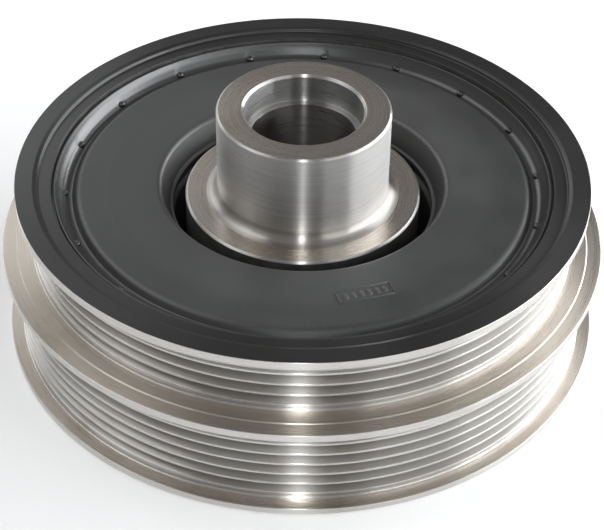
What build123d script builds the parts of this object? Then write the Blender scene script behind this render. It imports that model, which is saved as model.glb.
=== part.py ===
from build123d import *
import math
import os

# Harmonic balancer for a crankshaft, with two ribbed belt tracks.
# Millimetres. Z is the crankshaft axis. The front face of the pulley ring stands on Z = 0,
# and the oil-seal sleeve of the hub points up, towards the engine.

# ---------------------------------------------------------------- ribbed belt profile
belt_pitch = 3.56            # distance between two grooves
groove_angle = 40.0          # angle between the two flanks of a groove, degrees
groove_depth = 2.75
crest_width = 0.70           # width of a rib's top

# ---------------------------------------------------------------- pulley ring
front_groove_count = 6
rear_groove_count = 4
front_crest_radius = 81.2
rear_crest_radius = 76.35
belt_flange_radius = 85.0    # front and middle flange
rear_flange_radius = 80.0
front_flange_thickness = 2.30
middle_flange_thickness = 2.55
rear_flange_thickness = 2.84
front_shelf_gap = 1.74       # from the flange's flat to the middle of the last crest
rear_shelf_gap = 1.94
shelf_wall_draft = 12.0      # lean of the last rib's outer wall, degrees
shelf_corner_cut = 0.40      # slope that fills the corner between that wall and the flat
shelf_step_radius = 81.1     # the middle flange's flat stands a little higher inside this radius
shelf_step_height = 0.25
flange_edge_chamfer = 0.45
ring_bond_radius = 70.0      # bore that the rubber is bonded to
rear_step_radius = 73.9      # the rear face steps down inside this radius
rear_step_width = 0.25
rear_step_depth = 1.20
ring_bearing_radius = 64.5   # bore that carries the bush
ring_ledge_height = 18.0     # the bond bore ends here and the bearing bore begins
ring_mouth_chamfer = 1.00
ring_corner_radius = 1.50

# ---------------------------------------------------------------- hub
sleeve_radius = 24.0         # oil seal runs here
sleeve_length = 27.1
sleeve_foot_fillet = 3.1
sleeve_edge_chamfer = 0.50
shoulder_radius = 33.0
shoulder_height = 41.9       # rear face of the shoulder, above the front face of the ring
shoulder_edge_chamfer = 0.50
crank_bore_radius = 14.5
nose_recess_radius = 16.4    # wider mouth of the crank bore
nose_recess_depth = 8.3
nose_chamfer = 0.70
hub_front_recess = 1.5       # the hub stands back from the ring's front face by this
bolt_seat_radius = 22.0
bolt_seat_depth = 7.0
web_front_height = 6.0
web_thickness = 8.0
web_corner_fillet = 3.0
hub_rim_radius = 62.0
hub_rim_thickness = 6.0
hub_rim_front = 3.0
hub_rim_rear = 41.9          # the carrier ring rests on this edge
hub_rim_chamfer = 2.2

# ---------------------------------------------------------------- inertia ring and its rubber
inertia_bore_radius = 36.5
inertia_front = 17.0
inertia_height = 17.5
inertia_chamfer = 1.0
damper_rubber_thickness = 4.0
damper_rubber_inset = 1.5    # the rubber ends this far inside the inertia ring's faces

# ---------------------------------------------------------------- carrier ring
carrier_thickness = 2.0
carrier_bend_radius = 1.5    # inside of each bend
carrier_collar_front = 21.5
carrier_hole_radius = 42.2   # inside of the turned-down inner lip
carrier_lip_front = 38.4

# ---------------------------------------------------------------- isolator rubber
isolator_front = 24.5
face_skin = 1.30             # rubber over the carrier ring
hole_edge_radius = 39.9
hole_edge_round = 1.0
hole_foot_radius = 38.8
hole_bead_radius = 37.1
hole_bead_height = 1.5
lip_cover = 1.30             # rubber under the carrier's inner lip
face_break_radius = 54.4     # the face falls away gently outside this radius
face_fall = 0.30
trough_inner_radius = 62.9
trough_floor_start = 65.5
trough_floor_end = 67.1
trough_floor_height = 43.0
trough_shoulder_round = 2.2
trough_floor_round = 1.1
isolator_lip_gap = 0.6       # open crevice beside the pulley ring
isolator_lip_height = 46.9
isolator_lip_width = 0.6
isolator_lip_round = 0.25
crevice_depth = 1.0
nub_count = 18               # the mould's gates leave a ring of nubs in the trough
nub_circle_radius = 66.4
nub_first_angle = 4.9
nub_radius = 1.20
nub_sides = 8
nub_height = 0.85            # above the trough's floor
nub_root = 1.50              # below it

# ---------------------------------------------------------------- bearing bush
bush_clearance = 0.05        # running clearance on the hub's rim
bush_front = 4.5
bush_flange_thickness = 2.0
bush_flange_radius = 68.0

# ---------------------------------------------------------------- sizes that follow
flank_slope = math.tan(math.radians(groove_angle / 2))
front_shelf_height = front_flange_thickness
front_first_crest = front_shelf_height + front_shelf_gap
front_last_crest = front_first_crest + (front_groove_count - 1) * belt_pitch
half_gap = (belt_pitch - crest_width) / 2


def flank_end(last_crest, crest_radius, flange_radius):
    """Height at which the flank above the last groove reaches the flange's edge."""
    groove_middle = last_crest + belt_pitch / 2
    return groove_middle + half_gap + (flange_radius - crest_radius) * flank_slope


middle_flange_front = flank_end(front_last_crest, front_crest_radius, belt_flange_radius)
middle_flange_rear = middle_flange_front + middle_flange_thickness
rear_shelf_height = middle_flange_rear + shelf_step_height
rear_first_crest = middle_flange_rear + rear_shelf_gap
rear_last_crest = rear_first_crest + (rear_groove_count - 1) * belt_pitch
rear_flange_front = flank_end(rear_last_crest, rear_crest_radius, rear_flange_radius)
ring_rear = rear_flange_front + rear_flange_thickness
sleeve_top = shoulder_height + sleeve_length
hub_rim_bore_radius = hub_rim_radius - hub_rim_thickness
inertia_radius = hub_rim_bore_radius - damper_rubber_thickness
inertia_rear = inertia_front + inertia_height
carrier_collar_radius = hub_rim_radius + carrier_thickness
carrier_plate_front = hub_rim_rear
carrier_plate_rear = carrier_plate_front + carrier_thickness
face_height = carrier_plate_rear + face_skin


def revolved(outline):
    """Solid of revolution about the crankshaft axis from a closed outline in the XZ plane."""
    return revolve(Plane.XZ * make_face(outline), Axis.Z)


def closed(points):
    """Closed outline through (radius, height) points."""
    return Polyline(*points, close=True)


def rounded(points, radii):
    """Face through (radius, height) points; radii maps a point's index to its fillet radius."""
    face = make_face(closed(points))
    for index, radius in radii.items():
        corner = Vector(*points[index])
        vertex = face.vertices().sort_by_distance(corner)[0]
        face = fillet(vertex, radius)
    return face


def turned(face):
    """Solid of revolution from a face drawn as (radius, height)."""
    return revolve(Plane.XZ * face, Axis.Z)


def shelf_corner(crest_radius, crest_height, shelf_height):
    """Two points of the slope that fills the corner of a flange's flat and the rib above it."""
    draft = math.tan(math.radians(shelf_wall_draft))
    wall_height = crest_height - crest_width / 2 - shelf_height
    wall_radius = crest_radius - wall_height * draft
    return [
        (wall_radius + shelf_corner_cut, shelf_height),
        (wall_radius + shelf_corner_cut * draft, shelf_height + shelf_corner_cut),
    ]


def rib_points(first_crest, count, crest_radius):
    """Points of the ribs and the grooves above them, from the front to the rear."""
    points = []
    floor_half = half_gap - groove_depth * flank_slope
    for number in range(count):
        crest = first_crest + number * belt_pitch
        middle = crest + belt_pitch / 2
        points.append((crest_radius, crest - crest_width / 2))
        points.append((crest_radius, crest + crest_width / 2))
        points.append((crest_radius - groove_depth, middle - floor_half))
        points.append((crest_radius - groove_depth, middle + floor_half))
    return points


def make_pulley_ring():
    """Ring with two ribbed tracks, three flanges, a stepped rear face and two bores."""
    chamfer_out = flange_edge_chamfer
    front_ribs = rib_points(front_first_crest, front_groove_count, front_crest_radius)
    rear_ribs = rib_points(rear_first_crest, rear_groove_count, rear_crest_radius)
    points = [
        (ring_bearing_radius + ring_mouth_chamfer, 0),
        (belt_flange_radius - chamfer_out, 0),
        (belt_flange_radius, chamfer_out),
        (belt_flange_radius, front_shelf_height),
    ]
    points += shelf_corner(front_crest_radius, front_first_crest, front_shelf_height)
    points += front_ribs
    points += [
        (belt_flange_radius - chamfer_out, middle_flange_front - chamfer_out * flank_slope),
        (belt_flange_radius, middle_flange_front + chamfer_out),
        (belt_flange_radius, middle_flange_rear),
        (shelf_step_radius, middle_flange_rear),
        (shelf_step_radius - shelf_step_height, rear_shelf_height),
    ]
    points += shelf_corner(rear_crest_radius, rear_first_crest, rear_shelf_height)
    points += rear_ribs
    points += [
        (rear_flange_radius - chamfer_out, rear_flange_front - chamfer_out * flank_slope),
        (rear_flange_radius, rear_flange_front + chamfer_out),
        (rear_flange_radius, ring_rear),
        (rear_step_radius, ring_rear),
        (rear_step_radius - rear_step_width, ring_rear - rear_step_depth),
        (ring_bond_radius, ring_rear - rear_step_depth),
        (ring_bond_radius, ring_ledge_height),
        (ring_bearing_radius, ring_ledge_height),
        (ring_bearing_radius, ring_mouth_chamfer),
    ]
    ledge_corner = len(points) - 3
    return turned(rounded(points, {ledge_corner: ring_corner_radius}))


def make_hub():
    """Hub with sleeve, shoulder, web and outer rim, turned in one piece."""
    seat_height = hub_front_recess + bolt_seat_depth
    web_rear = web_front_height + web_thickness
    points = [
        (crank_bore_radius, seat_height),
        (bolt_seat_radius, seat_height),
        (bolt_seat_radius, hub_front_recess),
        (shoulder_radius, hub_front_recess),
        (shoulder_radius, web_front_height),
        (hub_rim_bore_radius, web_front_height),
        (hub_rim_bore_radius, hub_rim_front),
        (hub_rim_radius, hub_rim_front),
        (hub_rim_radius, hub_rim_rear - hub_rim_chamfer),
        (hub_rim_radius - hub_rim_chamfer, hub_rim_rear),
        (hub_rim_bore_radius, hub_rim_rear),
        (hub_rim_bore_radius, web_rear),
        (shoulder_radius, web_rear),
        (shoulder_radius, shoulder_height - shoulder_edge_chamfer),
        (shoulder_radius - shoulder_edge_chamfer, shoulder_height),
        (sleeve_radius, shoulder_height),
        (sleeve_radius, sleeve_top - sleeve_edge_chamfer),
        (sleeve_radius - sleeve_edge_chamfer, sleeve_top),
        (nose_recess_radius + nose_chamfer, sleeve_top),
        (nose_recess_radius, sleeve_top - nose_chamfer),
        (nose_recess_radius, sleeve_top - nose_recess_depth),
        (crank_bore_radius, sleeve_top - nose_recess_depth),
    ]
    radii = {
        4: web_corner_fillet / 2,
        5: web_corner_fillet / 2,
        11: web_corner_fillet,
        12: web_corner_fillet,
        15: sleeve_foot_fillet,
    }
    return turned(rounded(points, radii))


def make_inertia_ring():
    """Plain heavy ring with chamfered edges."""
    cut = inertia_chamfer
    points = [
        (inertia_bore_radius + cut, inertia_front),
        (inertia_radius - cut, inertia_front),
        (inertia_radius, inertia_front + cut),
        (inertia_radius, inertia_rear - cut),
        (inertia_radius - cut, inertia_rear),
        (inertia_bore_radius + cut, inertia_rear),
        (inertia_bore_radius, inertia_rear - cut),
        (inertia_bore_radius, inertia_front + cut),
    ]
    return revolved(closed(points))


def make_damper_rubber():
    """Elastomer ring between the inertia ring and the hub's rim."""
    low = inertia_front + damper_rubber_inset
    high = inertia_rear - damper_rubber_inset
    points = [
        (inertia_radius, low),
        (hub_rim_bore_radius, low),
        (hub_rim_bore_radius, high),
        (inertia_radius, high),
    ]
    return revolved(closed(points))


def carrier_points():
    """Outer side and inner side of the pressed carrier ring, from the inner lip to the collar."""
    outer_side = [
        (carrier_hole_radius, carrier_lip_front),
        (carrier_hole_radius, carrier_plate_rear),
        (carrier_collar_radius, carrier_plate_rear),
        (carrier_collar_radius, carrier_collar_front),
    ]
    inner_side = [
        (hub_rim_radius, carrier_collar_front),
        (hub_rim_radius, carrier_plate_front),
        (carrier_hole_radius + carrier_thickness, carrier_plate_front),
        (carrier_hole_radius + carrier_thickness, carrier_lip_front),
    ]
    return outer_side, inner_side


def make_carrier_ring():
    """Pressed ring with both edges turned down; every bend has an inside and an outside radius."""
    outer_side, inner_side = carrier_points()
    outside_bend = carrier_bend_radius + carrier_thickness
    radii = {
        1: outside_bend,
        2: outside_bend,
        5: carrier_bend_radius,
        6: carrier_bend_radius,
    }
    return turned(rounded(outer_side + inner_side, radii))


def make_isolator_rubber():
    """Moulded rubber: spring ring, trough, face skin and the skin round the carrier's inner lip."""
    outside_bend = carrier_bend_radius + carrier_thickness
    lip_inner = carrier_hole_radius + carrier_thickness
    skin_front = carrier_lip_front - lip_cover
    crevice_radius = ring_bond_radius - isolator_lip_gap
    points = [
        (lip_inner, skin_front),
        (lip_inner, carrier_lip_front),
        (carrier_hole_radius, carrier_lip_front),
        (carrier_hole_radius, carrier_plate_rear),
        (carrier_collar_radius, carrier_plate_rear),
        (carrier_collar_radius, isolator_front),
        (ring_bond_radius, isolator_front),
        (ring_bond_radius, isolator_lip_height - crevice_depth),
        (crevice_radius, isolator_lip_height - crevice_depth),
        (crevice_radius, isolator_lip_height),
        (crevice_radius - isolator_lip_width, isolator_lip_height),
        (trough_floor_end, trough_floor_height),
        (trough_floor_start, trough_floor_height),
        (trough_inner_radius, face_height - face_fall),
        (face_break_radius, face_height),
        (hole_edge_radius, face_height),
        (hole_foot_radius, skin_front + hole_bead_height),
        (hole_bead_radius, skin_front + hole_bead_height),
        (hole_bead_radius, skin_front),
    ]
    radii = {
        3: outside_bend,
        4: outside_bend,
        9: isolator_lip_round,
        10: isolator_lip_round,
        11: trough_floor_round,
        12: trough_floor_round,
        13: trough_shoulder_round,
        15: hole_edge_round,
    }
    nub = extrude(RegularPolygon(nub_radius, nub_sides), nub_root + nub_height)
    nub_foot = trough_floor_height - nub_root
    nubs = [
        place * Pos(0, 0, nub_foot) * nub
        for place in PolarLocations(nub_circle_radius, nub_count, nub_first_angle)
    ]
    return turned(rounded(points, radii)) + nubs


def make_bearing_bush():
    """Flanged plain bush, pressed in the ring and running on the hub's rim."""
    bore = hub_rim_radius + bush_clearance
    flange_rear = ring_ledge_height + bush_flange_thickness
    points = [
        (bore, bush_front),
        (ring_bearing_radius, bush_front),
        (ring_bearing_radius, ring_ledge_height),
        (bush_flange_radius, ring_ledge_height),
        (bush_flange_radius, flange_rear),
        (bore, flange_rear),
    ]
    return revolved(closed(points))


pieces = {
    "hub": make_hub(),
    "pulley_ring": make_pulley_ring(),
    "isolator_rubber": make_isolator_rubber(),
    "carrier_ring": make_carrier_ring(),
    "inertia_ring": make_inertia_ring(),
    "damper_rubber": make_damper_rubber(),
    "bearing_bush": make_bearing_bush(),
}

os.makedirs("parts", exist_ok=True)
for name, piece in pieces.items():
    export_step(piece, f"parts/{name}.step")
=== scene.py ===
"""Looks of a crankshaft harmonic balancer with two ribbed belt tracks.

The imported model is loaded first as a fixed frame. Each sub-assembly is a class that turns its
own outlines about the crankshaft axis, and each finish is a frozen dataclass that makes one
procedural material. Sizes of the object are in millimetres, and its meshes are in metres.
"""

import logging
import math
from collections.abc import Callable, Sequence
from dataclasses import dataclass, replace
from enum import Enum

import bmesh
import bpy
import numpy as np
from mathutils import Matrix, Vector


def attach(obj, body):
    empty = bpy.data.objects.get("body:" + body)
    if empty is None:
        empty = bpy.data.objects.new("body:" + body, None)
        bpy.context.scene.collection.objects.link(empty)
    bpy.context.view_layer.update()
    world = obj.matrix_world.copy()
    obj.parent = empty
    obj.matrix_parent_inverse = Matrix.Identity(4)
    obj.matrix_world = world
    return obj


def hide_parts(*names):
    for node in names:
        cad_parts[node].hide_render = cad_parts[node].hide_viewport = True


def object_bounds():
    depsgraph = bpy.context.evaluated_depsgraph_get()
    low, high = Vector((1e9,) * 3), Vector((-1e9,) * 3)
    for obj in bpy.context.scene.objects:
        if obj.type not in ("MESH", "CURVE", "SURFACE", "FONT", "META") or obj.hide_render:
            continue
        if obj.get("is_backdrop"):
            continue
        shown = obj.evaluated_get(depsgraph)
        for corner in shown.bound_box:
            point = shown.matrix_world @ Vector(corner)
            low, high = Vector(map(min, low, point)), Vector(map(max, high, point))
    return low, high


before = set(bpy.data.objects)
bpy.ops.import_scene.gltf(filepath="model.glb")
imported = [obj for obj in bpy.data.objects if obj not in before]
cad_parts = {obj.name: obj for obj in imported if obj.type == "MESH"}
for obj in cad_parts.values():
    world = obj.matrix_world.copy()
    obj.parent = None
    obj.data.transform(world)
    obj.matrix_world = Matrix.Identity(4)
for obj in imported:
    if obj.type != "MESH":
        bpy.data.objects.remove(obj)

LOG = logging.getLogger("balancer")
MM = 0.001
BODY = "root"
WELD = 0.002 * MM
TURNED_LAY = 0.25
TINY = 1e-9
HOLD_ROOM = 3
# Blender's colour mix node numbers its factor and both colours so, and its result.
MIX_INPUTS = (0, 6, 7)
MIX_RESULT = 2
LINES_SHOWN = (0.25, 0.75)
LINES_FELT = (0.2, 0.8)
CLOUD_SPAN = (0.3, 0.7)
WHITE = (1.0, 1.0, 1.0)
WINDOW_TINT = (0.96, 0.98, 1.0)
SKY_TINT = (0.97, 0.985, 1.0)
RingTest = Callable[[np.ndarray, np.ndarray], np.ndarray]
MADE: dict[str, bpy.types.Material] = {}


class Slot(Enum):
    """Material slots of the record that the finished pieces stand for."""

    HUB = "hub_steel"
    RING = "ring_iron"
    RUBBER = "moulded_rubber"


class Blend(Enum):
    """Ways in which two colours are mixed."""

    SHARE = "MIX"
    TINT = "MULTIPLY"


# ------------------------------------------------------------------ outlines and turning


@dataclass(frozen=True)
class Corner:
    """A corner of an outline.

    Attributes:
        radius: distance from the crankshaft axis, mm.
        height: height above the front face, mm.
        blend: radius of the round at this corner, mm.
        spacing: widest gap between points on the run after this corner, mm; 0 leaves it open.
    """

    radius: float
    height: float
    blend: float = 0.0
    spacing: float = 0.0


@dataclass(frozen=True)
class Outline:
    """A half section that is turned about the crankshaft axis, anticlockwise as (radius, height).

    Attributes:
        corners: its corners in order.
        closed: whether the last corner joins the first.
        arc_step: widest turn between two points of a round, degrees.
        hold: distance from a round at which a straight run gets a holding point, mm.
        straight: turn below which a corner counts as straight, degrees.
    """

    corners: Sequence[Corner]
    closed: bool = True
    arc_step: float = 18.0
    hold: float = 0.12
    straight: float = 0.5

    def _corner_points(self, index: int) -> list[np.ndarray]:
        """Points of one corner: its round, or the corner itself where it is sharp.

        Args:
            index: number of the corner.

        Returns:
            Its points in order, mm.
        """
        count = len(self.corners)
        corner = self.corners[index]
        here = np.array([corner.radius, corner.height])
        is_end = not self.closed and index in (0, count - 1)
        if corner.blend <= 0 or is_end:
            return [here]
        before = self.corners[index - 1]
        after = self.corners[(index + 1) % count]
        back = np.array([before.radius, before.height]) - here
        ahead = np.array([after.radius, after.height]) - here
        back /= np.linalg.norm(back)
        ahead /= np.linalg.norm(ahead)
        opening = math.acos(float(np.clip(back @ ahead, -1, 1)))
        sweep = math.pi - opening
        if sweep < math.radians(self.straight):
            return [here]
        bisector = back + ahead
        bisector /= np.linalg.norm(bisector)
        centre = here + bisector * corner.blend / math.sin(opening / 2)
        reach = corner.blend / math.tan(opening / 2)
        first = here + back * reach - centre
        last = here + ahead * reach - centre
        steps = max(2, math.ceil(math.degrees(sweep) / self.arc_step))
        points = []
        for step in range(steps + 1):
            share = step / steps
            low = math.sin((1 - share) * sweep) / math.sin(sweep)
            high = math.sin(share * sweep) / math.sin(sweep)
            points.append(centre + first * low + last * high)
        return points

    def points(self) -> np.ndarray:
        """The outline's points.

        Returns:
            An array of (radius, height) rows, mm.
        """
        groups = [self._corner_points(i) for i in range(len(self.corners))]
        runs = len(groups) if self.closed else len(groups) - 1
        result = []
        for index, group in enumerate(groups):
            result += group
            if index >= runs:
                continue
            start = group[-1]
            end = groups[(index + 1) % len(groups)][0]
            length = float(np.linalg.norm(end - start))
            marks = []
            if length > HOLD_ROOM * self.hold:
                marks = [self.hold / length, 1 - self.hold / length]
            spacing = self.corners[index].spacing
            if spacing > 0 and length > spacing:
                pieces = math.ceil(length / spacing)
                marks += [piece / pieces for piece in range(1, pieces)]
            for mark in sorted(marks):
                result.append(start + (end - start) * mark)
        return np.array(result)


def even_angles(count: int) -> np.ndarray:
    """Evenly spaced angles round the axis.

    Args:
        count: number of angles.

    Returns:
        The angles, radians.
    """
    return np.arange(count) * 2 * math.pi / count


def turned_mesh(name: str, outline: Outline, angles: np.ndarray) -> bpy.types.Mesh:
    """Turns an outline about the crankshaft axis.

    Args:
        name: name of the mesh.
        outline: the half section.
        angles: angles of its copies, radians, in rising order.

    Returns:
        A smooth quad mesh in metres, with its faces outwards.
    """
    section = outline.points() * MM
    rows = len(section)
    columns = len(angles)
    radius, angle = np.meshgrid(section[:, 0], angles, indexing="ij")
    height = np.repeat(section[:, 1:2], columns, axis=1)
    places = np.stack([radius * np.cos(angle), radius * np.sin(angle), height], axis=-1)
    spans = rows if outline.closed else rows - 1
    low = np.arange(spans)[:, None]
    high = (low + 1) % rows
    left = np.arange(columns)[None, :]
    right = (left + 1) % columns
    quads = np.stack(
        [low * columns + left, low * columns + right, high * columns + right, high * columns + left],
        axis=-1,
    )
    mesh = bpy.data.meshes.new(name)
    mesh.from_pydata(places.reshape(-1, 3).tolist(), [], quads.reshape(-1, 4).tolist())
    mesh.shade_smooth()
    return mesh


def in_scene(name: str, data: bpy.types.ID) -> bpy.types.Object:
    """Puts a mesh, a lamp or a camera in the scene as an object at the origin.

    Args:
        name: the object's name.
        data: its mesh, lamp or camera.

    Returns:
        The new object.
    """
    item = bpy.data.objects.new(name, data)
    bpy.context.scene.collection.objects.link(item)
    return item


def joined(name: str, parts: Sequence[bpy.types.Object]) -> bpy.types.Object:
    """Joins objects to one, welds their seams and turns their faces outwards.

    Args:
        name: name of the result.
        parts: mesh objects at the origin, which are used up.

    Returns:
        The joined object.
    """
    shell = bmesh.new()
    for part in parts:
        shell.from_mesh(part.data)
    bmesh.ops.remove_doubles(shell, verts=shell.verts, dist=WELD)
    bmesh.ops.recalc_face_normals(shell, faces=shell.faces)
    mesh = bpy.data.meshes.new(name)
    shell.to_mesh(mesh)
    shell.free()
    mesh.shade_smooth()
    for part in parts:
        bpy.data.objects.remove(part)
    return in_scene(name, mesh)


def stacked_mesh(name: str, stacks: Sequence[Sequence[Sequence[tuple[float, ...]]]]) -> bpy.types.Mesh:
    """Makes closed shells, each from rings of points that stand one above another.

    Args:
        name: name of the mesh.
        stacks: the rings of each shell, lowest first, with their points in mm.

    Returns:
        The mesh in metres, with its faces outwards.
    """
    shell = bmesh.new()
    for rings in stacks:
        rows = [[shell.verts.new(Vector(point) * MM) for point in ring] for ring in rings]
        for low, high in zip(rows, rows[1:]):
            for side, corner in enumerate(low):
                other = (side + 1) % len(low)
                shell.faces.new((corner, low[other], high[other], high[side]))
        shell.faces.new(rows[-1])
        shell.faces.new(rows[0][::-1])
    bmesh.ops.recalc_face_normals(shell, faces=shell.faces)
    mesh = bpy.data.meshes.new(name)
    shell.to_mesh(mesh)
    shell.free()
    return mesh


def finish_faces(
    piece: bpy.types.Object,
    base: bpy.types.Material,
    regions: Sequence[tuple[bpy.types.Material, RingTest]],
) -> None:
    """Gives a turned piece its finishes by the radius and height of each face.

    Args:
        piece: the piece.
        base: the finish of every face that no region takes.
        regions: finishes with a test of (radius, height) in mm; a later one wins.
    """
    mesh = piece.data
    mesh.materials.clear()
    mesh.materials.append(base)
    centres = np.zeros(len(mesh.polygons) * 3)
    mesh.polygons.foreach_get("center", centres)
    centres = centres.reshape(-1, 3) / MM
    radius = np.hypot(centres[:, 0], centres[:, 1])
    slots = np.zeros(len(mesh.polygons), dtype=np.int32)
    for material, test in regions:
        if material.name not in mesh.materials:
            mesh.materials.append(material)
        slots[test(radius, centres[:, 2])] = mesh.materials.find(material.name)
    mesh.polygons.foreach_set("material_index", slots)
    mesh.update()


def settle(piece: bpy.types.Object, slot: Slot, *nodes: str) -> None:
    """Lets a finished piece ride on the frame in place of its CAD nodes.

    Args:
        piece: the finished piece.
        slot: material slot of the record; not used.
        nodes: CAD nodes that it stands for.
    """
    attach(piece, BODY)
    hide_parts(*nodes)
    LOG.info("%s: %d faces", piece.name, len(piece.data.polygons))


# ------------------------------------------------------------------ node trees


class TreeTool:
    """Adds nodes to one tree, which may be of geometry, of a material or of the room."""

    def __init__(self, tree: bpy.types.NodeTree) -> None:
        """Takes up a tree.

        Args:
            tree: the tree that the nodes go into.
        """
        self.tree = tree

    def link(self, source: bpy.types.NodeSocket, target: bpy.types.NodeSocket) -> None:
        """Joins two sockets."""
        self.tree.links.new(source, target)

    def add(self, kind: str, inputs: dict | None = None, **settings: object) -> bpy.types.Node:
        """Adds a node.

        Args:
            kind: node type.
            inputs: its inputs by name or number, as sockets or plain values.
            settings: properties of the node.

        Returns:
            The node.
        """
        node = self.tree.nodes.new(kind)
        for key, value in settings.items():
            setattr(node, key, value)
        for key, value in (inputs or {}).items():
            if isinstance(value, bpy.types.NodeSocket):
                self.link(value, node.inputs[key])
            else:
                node.inputs[key].default_value = value
        return node

    def math(self, operation: str, *values: object, clamp: bool = False) -> bpy.types.NodeSocket:
        """Adds a math node.

        Args:
            operation: name of the operation.
            values: its inputs in order, as sockets or numbers.
            clamp: whether the result stays between 0 and 1.

        Returns:
            Its output.
        """
        node = self.add("ShaderNodeMath", dict(enumerate(values)), operation=operation)
        node.use_clamp = clamp
        return node.outputs[0]

    def square(self, first: bpy.types.NodeSocket, second: bpy.types.NodeSocket) -> bpy.types.NodeSocket:
        """Sum of the squares of two legs at a right angle."""
        return self.math("ADD", self.math("MULTIPLY", first, first), self.math("MULTIPLY", second, second))

    def combine(self, x: object = 0.0, y: object = 0.0, z: object = 0.0) -> bpy.types.NodeSocket:
        """Joins three sockets or numbers to a vector."""
        return self.add("ShaderNodeCombineXYZ", {0: x, 1: y, 2: z}).outputs[0]

    def ramp(
        self, value: object, low: float, high: float, start: object, end: object
    ) -> bpy.types.NodeSocket:
        """Maps a value from one range to another, smoothly and clamped.

        Args:
            value: the value.
            low: start of its range.
            high: end of its range.
            start: result at low, as a socket or number.
            end: result at high, as a socket or number.

        Returns:
            The mapped value.
        """
        inputs = {0: value, 1: low, 2: high, 3: start, 4: end}
        return self.add("ShaderNodeMapRange", inputs, interpolation_type="SMOOTHSTEP").outputs[0]


class NodeTool(TreeTool):
    """A Geometry Nodes tree with named inputs, used once and turned into a plain mesh."""

    def __init__(self, name: str) -> None:
        """Makes an empty tree with a geometry input and a geometry output.

        Args:
            name: name of the tree.
        """
        super().__init__(bpy.data.node_groups.new(name, "GeometryNodeTree"))
        sockets = self.tree.interface
        sockets.new_socket("Geometry", in_out="INPUT", socket_type="NodeSocketGeometry")
        sockets.new_socket("Geometry", in_out="OUTPUT", socket_type="NodeSocketGeometry")
        self.given = self.tree.nodes.new("NodeGroupInput")
        self.result = self.tree.nodes.new("NodeGroupOutput")
        self.values: dict[str, object] = {}

    def ask(self, name: str, kind: str, value: object) -> bpy.types.NodeSocket:
        """Adds a named input.

        Args:
            name: name of the input.
            kind: socket type, such as "NodeSocketFloat".
            value: value that the modifier is given.

        Returns:
            The input's socket inside the tree.
        """
        self.tree.interface.new_socket(name, in_out="INPUT", socket_type=kind)
        self.values[name] = value
        return self.given.outputs[name]

    def close(self, geometry: bpy.types.NodeSocket, material: bpy.types.Material) -> None:
        """Ends the tree in Realize Instances and Set Material.

        Args:
            geometry: the geometry to finish.
            material: the material it is given.
        """
        finish = self.ask("Finish", "NodeSocketMaterial", material)
        real = self.add("GeometryNodeRealizeInstances", {0: geometry}).outputs[0]
        dressed = self.add("GeometryNodeSetMaterial", {"Geometry": real, "Material": finish})
        self.link(dressed.outputs[0], self.result.inputs[0])

    def apply(self, piece: bpy.types.Object) -> bpy.types.Object:
        """Runs the tree on a piece and replaces the piece with the plain result.

        Args:
            piece: the object whose mesh the tree starts from, which is used up.

        Returns:
            A new object with the same name and no modifier.
        """
        modifier = piece.modifiers.new(self.tree.name, "NODES")
        modifier.node_group = self.tree
        for item in self.tree.interface.items_tree:
            if item.in_out == "INPUT" and item.name in self.values:
                modifier[item.identifier] = self.values[item.name]
        graph = bpy.context.evaluated_depsgraph_get()
        mesh = bpy.data.meshes.new_from_object(piece.evaluated_get(graph))
        name = piece.name
        piece.modifiers.remove(modifier)
        bpy.data.objects.remove(piece)
        mesh.shade_smooth()
        return in_scene(name, mesh)


# ------------------------------------------------------------------ finishes


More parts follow.
